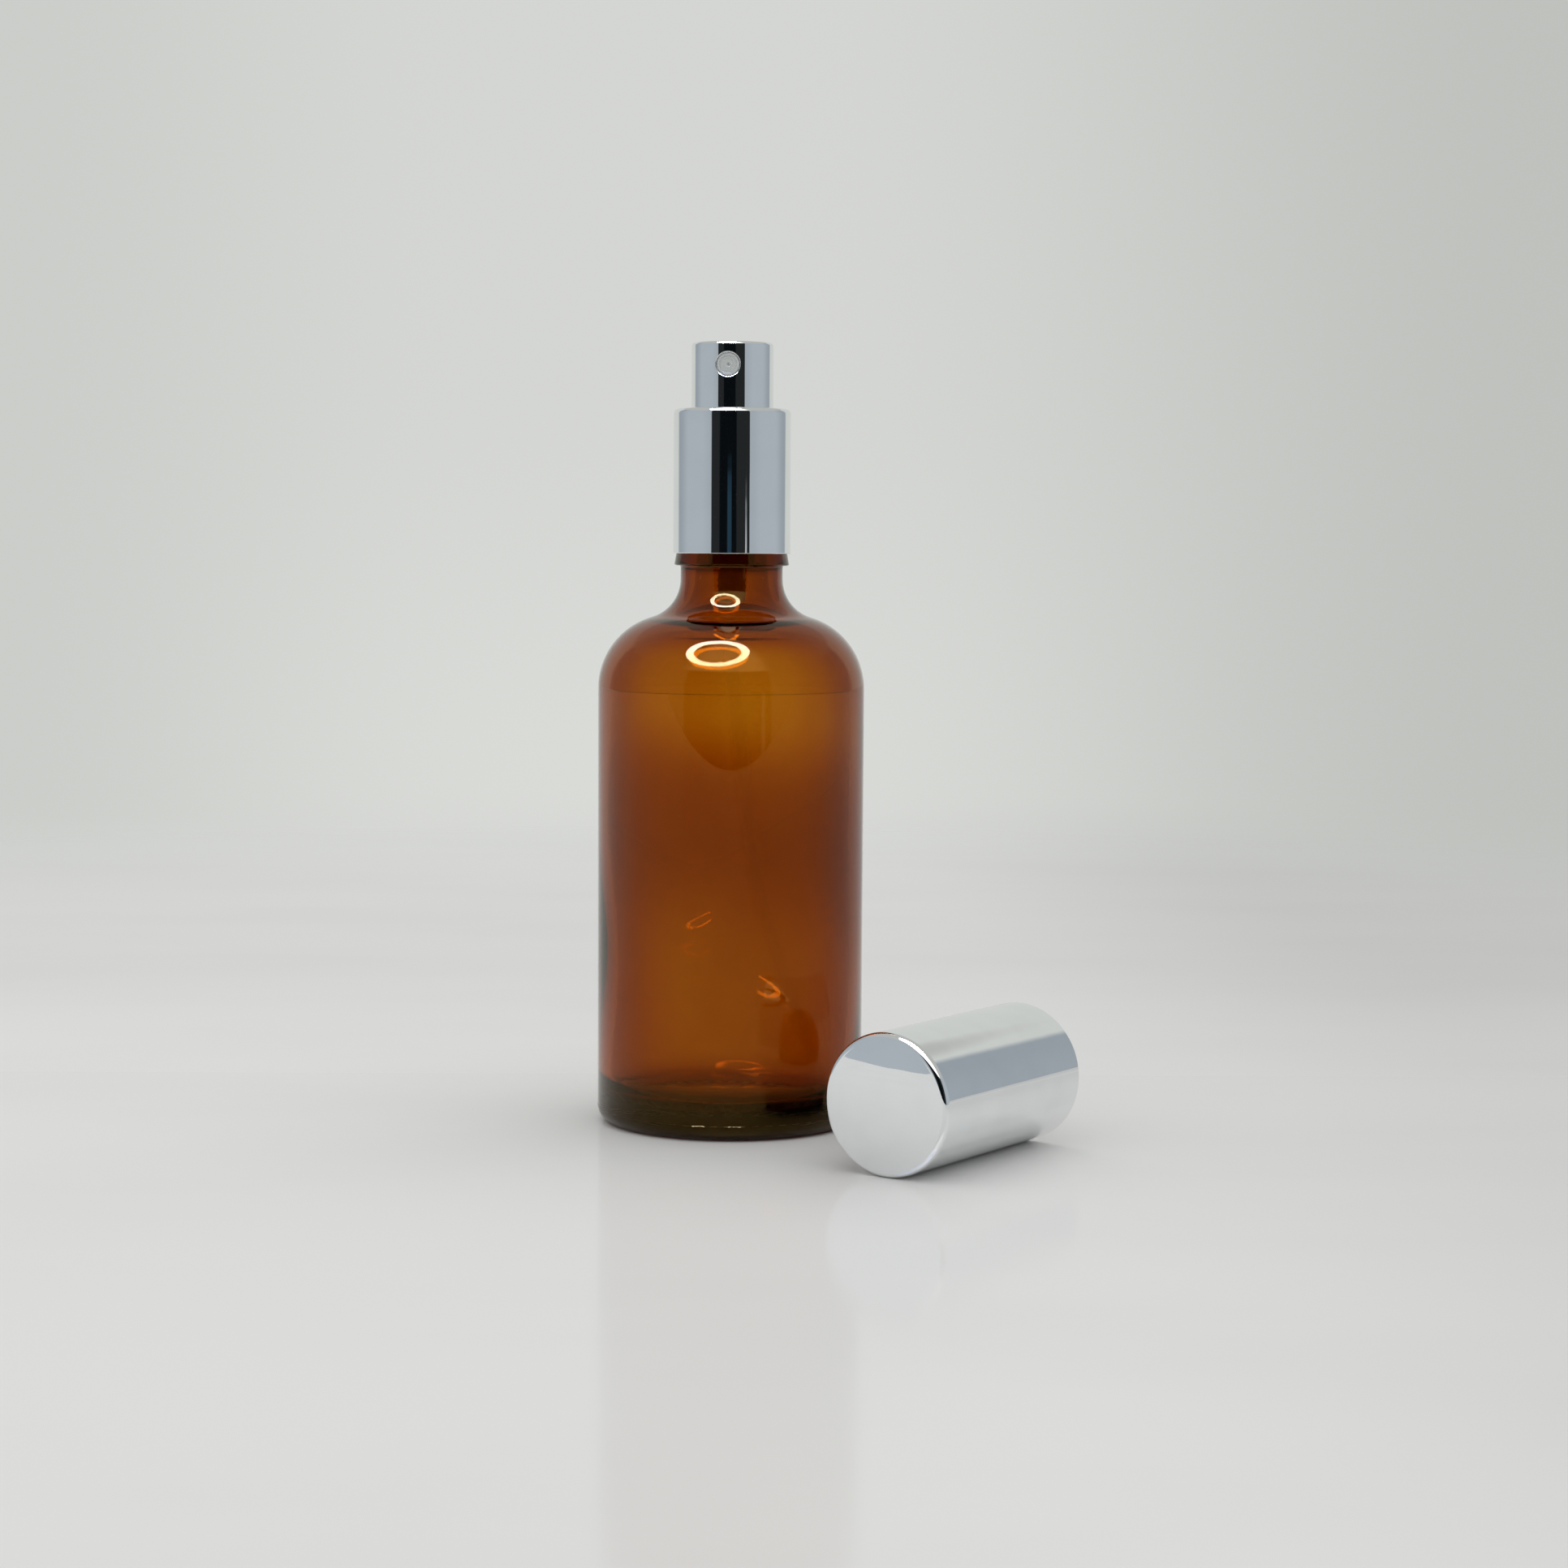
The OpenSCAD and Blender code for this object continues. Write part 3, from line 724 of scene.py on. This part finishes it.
def join(piece, other):
    """Adds another object's mesh to a piece and removes the other object."""
    bm = bmesh.new()
    bm.from_mesh(piece.data)
    bm.from_mesh(other.data)
    bm.to_mesh(piece.data)
    bm.free()
    bpy.data.objects.remove(other)
    piece.data.set_sharp_from_angle(angle=SHARP_ANGLE)


head = turn("actuator_metal", head_path())
cut(head, hole_cutter(HOLE_R + LIP_R, *CUTTER_DEPTHS))
small_angles = even_angles(SMALL_SEGMENTS)
nozzle_place = facing_front(NOZZLE_Z)
lip = turn("lip", lip_path(), closed=True, shape=on_cylinder, place=nozzle_place, angles=small_angles)
join(head, lip)
radial_normals(head, head_high.x)
stand_for(head, "actuator_shell", metal)


def nozzle_path():
    """A disc with a raised rim, a shallow groove and an orifice; depth grows toward the front."""
    r = NOZZLE_R
    face = -nozzle_low.y
    back = -nozzle_high.y
    post_r = 1.12
    post_end = back + 2.4
    edge_r = 0.16
    rim_r = r - 0.42
    rim_edge_r = 0.12
    dish = face - 0.22
    groove = dish - 0.04
    orifice_r = 0.15
    path = [(0, post_end), (post_r, post_end), (post_r, back), (r, back)]
    path += line((r, back), (r, face - edge_r), 3)[1:]
    path += arc((r - edge_r, face - edge_r), edge_r, 0, 90, 5)[1:]
    path += arc((rim_r + 0.1, face - rim_edge_r), rim_edge_r, 90, 170, 5)
    path += [(rim_r - 0.06, dish), (1.0, dish), (0.96, groove), (0.84, groove), (0.8, dish)]
    path += [(0.42, dish), (0.36, groove), (orifice_r, dish - 0.3), (orifice_r, post_end + 0.3)]
    path += [(0, post_end + 0.3)]
    return path


nozzle = turn("nozzle_disc", nozzle_path(), place=nozzle_place, angles=small_angles)
stand_for(nozzle, "nozzle_insert", nozzle_plastic)


# ---- Overcap ----

bore = mount("overcap_bore")
bore_centre = Vector(bore["pos_m"])
cap_axis = Vector(bore["axis"]).normalized()
cap_low, cap_high = box_mm("overcap_shell")
CAP_R = (cap_high.z - cap_low.z) / 2
CAP_H = 43.3
CAP_EDGE_R = 1.1
CAP_EDGE_START = 81
CAP_CROWN = 0.8
CAP_CROWN_EDGE = 10.5
CAP_CROWN_STEPS = 14
CAP_INNER_WALL_END = 1.6
CAP_INNER_BEVEL = 0.6
CAP_INNER_TOP = 1.05
LINER_SET_BACK = 0.6
cap_rim = bore_centre + cap_axis * (bore["dims"]["length_mm"] / 2 + LINER_SET_BACK) * MM
cap_place = Matrix.Translation(cap_rim) @ (-cap_axis).to_track_quat("Z", "Y").to_matrix().to_4x4()


def cap_path():
    """The overcap's shell, from the middle of its closed end to its open rim and back inside."""
    r, high = CAP_R, CAP_H
    crown_r = (CAP_CROWN_EDGE**2 + CAP_CROWN**2) / (2 * CAP_CROWN)
    reaches = [(r - CAP_EDGE_R) * k / CAP_CROWN_STEPS for k in range(CAP_CROWN_STEPS + 1)]
    path = [(reach, high - crown_r + math.sqrt(crown_r**2 - reach**2)) for reach in reaches]
    top_edge = path[-1][1]
    path += arc((r - CAP_EDGE_R, top_edge - CAP_EDGE_R), CAP_EDGE_R, CAP_EDGE_START, 0, 12)
    path += line((r, top_edge - CAP_EDGE_R), (r, CUT_EDGE), 20)[1:]
    path += arc((r - CUT_EDGE, CUT_EDGE), CUT_EDGE, 0, -90, 4)[1:]
    path += arc((r - SHELL + CUT_EDGE, CUT_EDGE), CUT_EDGE, -90, -180, 4)
    path += line((r - SHELL, CUT_EDGE), (r - SHELL, high - CAP_INNER_WALL_END), 20)[1:]
    path += [(r - SHELL - CAP_INNER_BEVEL, high - CAP_INNER_TOP), (0, high - SHELL)]
    return path


cap = turn("overcap_metal", cap_path(), place=cap_place)
stand_for(cap, "overcap_shell", metal)


# ---- Springs ----


def coil(name, node, mean_r, wire_d, coils, wire_sides=14, coil_steps=56):
    """A compression spring with closed ends, between the heights of a CAD spring."""
    low, high = box_mm(node)
    closed = 0.7
    steps = round(coils * coil_steps)
    travel = high.z - low.z - wire_d - 2 * closed * wire_d
    bm = bmesh.new()
    rings = []
    for i in range(steps + 1):
        t = coils * i / steps
        if t < closed:
            rise = t * wire_d
        elif t > coils - closed:
            rise = high.z - low.z - wire_d - (coils - t) * wire_d
        else:
            rise = closed * wire_d + travel * (t - closed) / (coils - 2 * closed)
        a = 2 * math.pi * t
        ring = []
        for k in range(wire_sides):
            w = 2 * math.pi * k / wire_sides
            r = mean_r + wire_d / 2 * math.cos(w)
            z = low.z + wire_d / 2 + rise + wire_d / 2 * math.sin(w)
            ring.append(bm.verts.new(Vector((r * math.cos(a), r * math.sin(a), z)) * MM))
        rings.append(ring)
    for one, other in zip(rings, rings[1:]):
        for k in range(wire_sides):
            j = (k + 1) % wire_sides
            bm.faces.new((one[k], one[j], other[j], other[k]))
    bm.faces.new(rings[0])
    bm.faces.new(rings[-1])
    return finish_mesh(name, bm)


UP = (0, 0, 1)


def spring(name, node, wire_d, coils):
    """A spring of the given wire and coils, in millimetres, in place of a CAD spring node."""
    low, high = box_mm(node)
    made = coil(name, node, high.x - wire_d / 2, wire_d, coils)
    stand_for(made, node, steel)
    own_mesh(made)


spring("return_spring", "main_spring", 0.45, 4.5)
spring("valve_spring", "piston_spring", 0.3, 3)


# ---- Floor, lights and surroundings ----

FLOOR_REACH = 3.0
FLOOR_FRONT = -0.9
FADE_START = 0.28
FADE_END = 0.75
BOARD_EDGE = 0.046
BOARD_EDGE_SOFT = 0.001
GLOSS = 0.11
GLOSS_LOST = 0.6
# Painted shade on the floor toward its right and its back: where it begins, where it is full, and how dark
RIGHT_SHADE = (0.03, 0.17, 0.16)
BACK_SHADE = (0.02, 0.22, 0.09)
FLOOR_TONE = rgba(0.775, 0.775, 0.765)
FLOOR_CLOUD = rgba(0.75, 0.75, 0.74)
BLACK = rgba(0, 0, 0)


def shade(tree, value, start, full, share):
    """A share of darkening that grows from nothing at start to all of it at full."""
    return tree.math("MULTIPLY", tree.step(value, start, full), share)


def floor_material():
    """Pale board that fades into the backdrop far from the object, and is glossier up to its back edge."""
    made, tree = material("pale_floor")
    place = tree.add("TexCoord").outputs["Object"]
    parts = tree.add("SeparateXYZ", {"Vector": place})
    cloud = tree.noise(6, 4.0, (1, 2.2, 1))
    tone = tree.mix(tree.step(cloud, 0.35, 0.75), FLOOR_TONE, FLOOR_CLOUD)
    # Painted shade: the floor darkens toward its right and its back
    right = shade(tree, parts.outputs["X"], *RIGHT_SHADE)
    back = shade(tree, parts.outputs["Y"], *BACK_SHADE)
    tone = tree.mix(tree.math("ADD", right, back), tone, BLACK)
    matte = tree.add("BsdfDiffuse", {"Color": tone})
    smear = tree.noise(14, 3.0, (0.5, 2.5, 1))
    shine = tree.add("BsdfGlossy", {
        "Color": rgba(0.95, 0.95, 0.95),
        "Roughness": tree.math("MULTIPLY_ADD", smear, 0.10, 0.05),
    })
    behind = tree.step(parts.outputs["Y"], BOARD_EDGE, BOARD_EDGE + BOARD_EDGE_SOFT)
    gloss = tree.math("MULTIPLY_ADD", behind, -GLOSS_LOST * GLOSS, GLOSS)
    board = tree.add("MixShader", {0: gloss, 1: matte.outputs[0], 2: shine.outputs[0]})
    path = tree.add("LightPath")
    seen = tree.math("MAXIMUM", path.outputs["Is Camera Ray"], path.outputs["Is Transmission Ray"])
    away = tree.add("VectorMath", {0: place}, operation="LENGTH").outputs["Value"]
    far = tree.step(away, FADE_START, FADE_END)
    clear = tree.add("BsdfTransparent")
    fade = tree.math("MULTIPLY", seen, far)
    out = tree.add("MixShader", {0: fade, 1: board.outputs[0], 2: clear.outputs[0]})
    tree.output(out.outputs[0])
    return made


def make_floor():
    """A level floor that the object stands on, with its front edge behind the camera."""
    bm = bmesh.new()
    corners = [
        (-FLOOR_REACH, FLOOR_FRONT), (FLOOR_REACH, FLOOR_FRONT),
        (FLOOR_REACH, FLOOR_REACH), (-FLOOR_REACH, FLOOR_REACH),
    ]
    bm.faces.new([bm.verts.new((x, y, 0)) for x, y in corners])
    floor = finish_mesh("floor", bm)
    floor.matrix_world = TO_VIEW
    floor.data.materials.append(floor_material())


def glow(name, colour, strength):
    """Light that is seen in glass, or mirrored once, and that throws no bright patches on matt surfaces."""
    made, tree = material(name)
    path = tree.add("LightPath")
    direct = tree.math("LESS_THAN", path.outputs["Diffuse Depth"], 0.5)
    once = tree.math("LESS_THAN", path.outputs["Glossy Depth"], 1.5)
    in_glass = tree.math("GREATER_THAN", path.outputs["Transmission Depth"], 0.5)
    direct = tree.math("MULTIPLY", direct, tree.math("MAXIMUM", once, in_glass))
    light = tree.add("Emission", {"Color": colour, "Strength": tree.math("MULTIPLY", direct, strength)})
    tree.output(light.outputs[0])
    return made


RING_DIRECTION = Vector((-0.164, -0.459, 0.874)).normalized()
RING_TARGET = Vector((0, 0, 0.08))
RING_DISTANCE = 0.62
RING_R = 0.215
RING_W = 0.07
RING_T = 0.002
RING_STRENGTH = 60.0
RING_COLOUR = rgba(0.4, 0.52, 1.0)


def ring_light():
    """A flat ring of light above and in front of the bottle, which the glass mirrors as an oval."""
    facing = (TO_VIEW @ RING_DIRECTION).normalized()
    turned = facing.to_track_quat("Z", "Y").to_matrix().to_4x4()
    place = Matrix.Translation(RING_TARGET + facing * RING_DISTANCE) @ turned
    r, w, t = RING_R / MM, RING_W / MM / 2, RING_T / MM / 2
    path = [(r - w, -t), (r + w, -t), (r + w, t), (r - w, t)]
    ring = turn("ring_light", path, closed=True, place=place, angles=even_angles(SMALL_SEGMENTS))
    ring.data.materials.append(glow("ring_glow", RING_COLOUR, RING_STRENGTH))
    ring.visible_camera = False
    ring.visible_diffuse = False


CEILING = rgba(0.49, 0.495, 0.475)
ROOM = rgba(0.42, 0.465, 0.50)
ROOM_FAR = rgba(0.325, 0.365, 0.40)
ROOM_NEAR = rgba(0.375, 0.42, 0.45)
LAMP_GLOW = rgba(1.7, 1.7, 1.65)
BACKDROP = rgba(0.63, 0.65, 0.62)
DARK = rgba(0.003, 0.004, 0.005)
DARK_EDGE = rgba(0.017, 0.019, 0.02)
BLUE = rgba(0.017, 0.042, 0.066)
STREAK = rgba(0.5, 0.52, 0.53)
AMBIENT_LOW = rgba(0.5, 0.503, 0.5)
AMBIENT_HIGH = rgba(1.125, 1.13, 1.125)

# Headings in degrees, where 0 is toward the camera and more is to its right, and heights above the
# horizon in degrees. A spread is a heading to either side.
FIGURE_HEADINGS = (-40.5, 35)
DARKEST_HEADINGS = (-24, 9)
BLUE_HEADINGS = (-8.5, -0.5)
BLUE_HEIGHTS = (1.5, 0.9)
STREAK_HEADINGS = (26.5, 29.5)
STREAK_HEIGHTS = (1.2, -0.4)
LAMP_HEADINGS = (-42, 34)
CEILING_HEIGHTS = (31, 34)
AMBIENT_HEIGHTS = (0, 60)
NEAR_SPREAD = (62, 38)
FAR_SPREAD = (92, 122)
BACKDROP_SPREAD = (126, 132)

# The backdrop, with painted falloff of light toward its sides and a painted pool of light, where 0 to 1 is
# across the picture and up it
BACK_LEFT = rgba(0.60, 0.615, 0.59)
BACK_MIDDLE = rgba(0.66, 0.67, 0.65)
BACK_RIGHT = rgba(0.52, 0.535, 0.51)
BACK_LIGHT_POOL = rgba(0.74, 0.755, 0.72)
LEFT_FADE = (0.0, 0.3)
RIGHT_FADE = (0.5, 1.0)
POOL_UP = (0.42, 0.62)
POOL_ACROSS = (0.2, 0.62)
POOL_SHARE = 0.5


def surroundings():
    """What the object mirrors, the soft light on matt surfaces, and the backdrop that the camera sees.

    The metal mirrors a dark figure in front, a grey-blue room beside it and a pale ceiling.
    """
    world = bpy.data.worlds.new("studio")
    bpy.context.scene.world = world
    tree = Tree(world)
    coordinates = tree.add("TexCoord")
    turned = tree.add("VectorRotate", {
        "Vector": coordinates.outputs["Generated"],
        "Axis": UP,
        "Angle": -VIEW_TURN,
    }, rotation_type="AXIS_ANGLE")
    way = tree.add("SeparateXYZ", {"Vector": turned.outputs[0]})
    ahead = tree.math("MULTIPLY", way.outputs["Y"], -1.0)
    heading = tree.math("DEGREES", tree.math("ARCTAN2", way.outputs["X"], ahead))
    spread = tree.math("ABSOLUTE", heading)
    height = tree.math("DEGREES", tree.math("ARCSINE", way.outputs["Z"]))

    room = tree.mix(tree.step(spread, *FAR_SPREAD), ROOM, ROOM_FAR)
    room = tree.mix(tree.step(spread, *NEAR_SPREAD), room, ROOM_NEAR)
    seen = tree.mix(tree.step(spread, *BACKDROP_SPREAD), room, BACKDROP)
    figure = band(tree, heading, *FIGURE_HEADINGS, soft=0.7)
    dark = tree.mix(band(tree, heading, *DARKEST_HEADINGS, soft=1.5), DARK_EDGE, DARK)
    blue = band(tree, heading, *BLUE_HEADINGS, soft=1.2)
    dark = tree.mix(tree.math("MULTIPLY", tree.step(height, *BLUE_HEIGHTS), blue), dark, BLUE)
    streak = band(tree, heading, *STREAK_HEADINGS, soft=0.7)
    dark = tree.mix(tree.math("MULTIPLY", tree.step(height, *STREAK_HEIGHTS), streak), dark, STREAK)
    seen = tree.mix(figure, seen, dark)
    ceiling = tree.mix(band(tree, heading, *LAMP_HEADINGS, soft=9), CEILING, LAMP_GLOW)
    seen = tree.mix(tree.step(height, *CEILING_HEIGHTS), seen, ceiling)

    window = tree.add("SeparateXYZ", {"Vector": coordinates.outputs["Window"]})
    across = window.outputs["X"]
    up = window.outputs["Y"]
    # Painted light on the backdrop: darker toward its sides, with a brighter pool of light
    backdrop = tree.mix(tree.step(across, *LEFT_FADE), BACK_LEFT, BACK_MIDDLE)
    backdrop = tree.mix(tree.step(across, *RIGHT_FADE), backdrop, BACK_RIGHT)
    pool_up = band(tree, up, *POOL_UP, soft=0.14)
    pool = tree.math("MULTIPLY", pool_up, band(tree, across, *POOL_ACROSS, soft=0.2))
    backdrop = tree.mix(tree.math("MULTIPLY", pool, POOL_SHARE), backdrop, BACK_LIGHT_POOL)

    path = tree.add("LightPath")
    ambient = tree.mix(tree.step(height, *AMBIENT_HEIGHTS), AMBIENT_LOW, AMBIENT_HIGH)
    colour = tree.mix(path.outputs["Is Glossy Ray"], ambient, seen)
    plain = tree.math("MAXIMUM", path.outputs["Is Camera Ray"], path.outputs["Is Transmission Ray"])
    colour = tree.mix(plain, colour, backdrop)
    light = tree.add("Background", {"Color": colour, "Strength": 1.0})
    out = tree.add("OutputWorld")
    tree.links.new(light.outputs[0], out.inputs["Surface"])


def make_camera():
    """The camera at the photograph's place and angle."""
    forward = Vector((
        math.sin(EYE_YAW) * math.cos(EYE_PITCH),
        math.cos(EYE_YAW) * math.cos(EYE_PITCH),
        -math.sin(EYE_PITCH),
    ))
    right = Vector((math.cos(EYE_YAW), -math.sin(EYE_YAW), 0))
    up = right.cross(forward)
    across = right * math.cos(EYE_ROLL) + up * math.sin(EYE_ROLL)
    upward = up * math.cos(EYE_ROLL) - right * math.sin(EYE_ROLL)
    turned = Matrix((across, upward, -forward)).transposed().to_4x4()
    data = bpy.data.cameras.new("camera")
    data.lens = LENS_MM
    data.sensor_width = SENSOR_MM
    data.clip_start = CLIP_START
    camera = bpy.data.objects.new("camera", data)
    bpy.context.scene.collection.objects.link(camera)
    camera.matrix_world = TO_VIEW @ Matrix.Translation(EYE) @ turned
    bpy.context.scene.camera = camera


make_floor()
ring_light()
surroundings()
make_camera()
bpy.context.scene.view_settings.view_transform = "Standard"
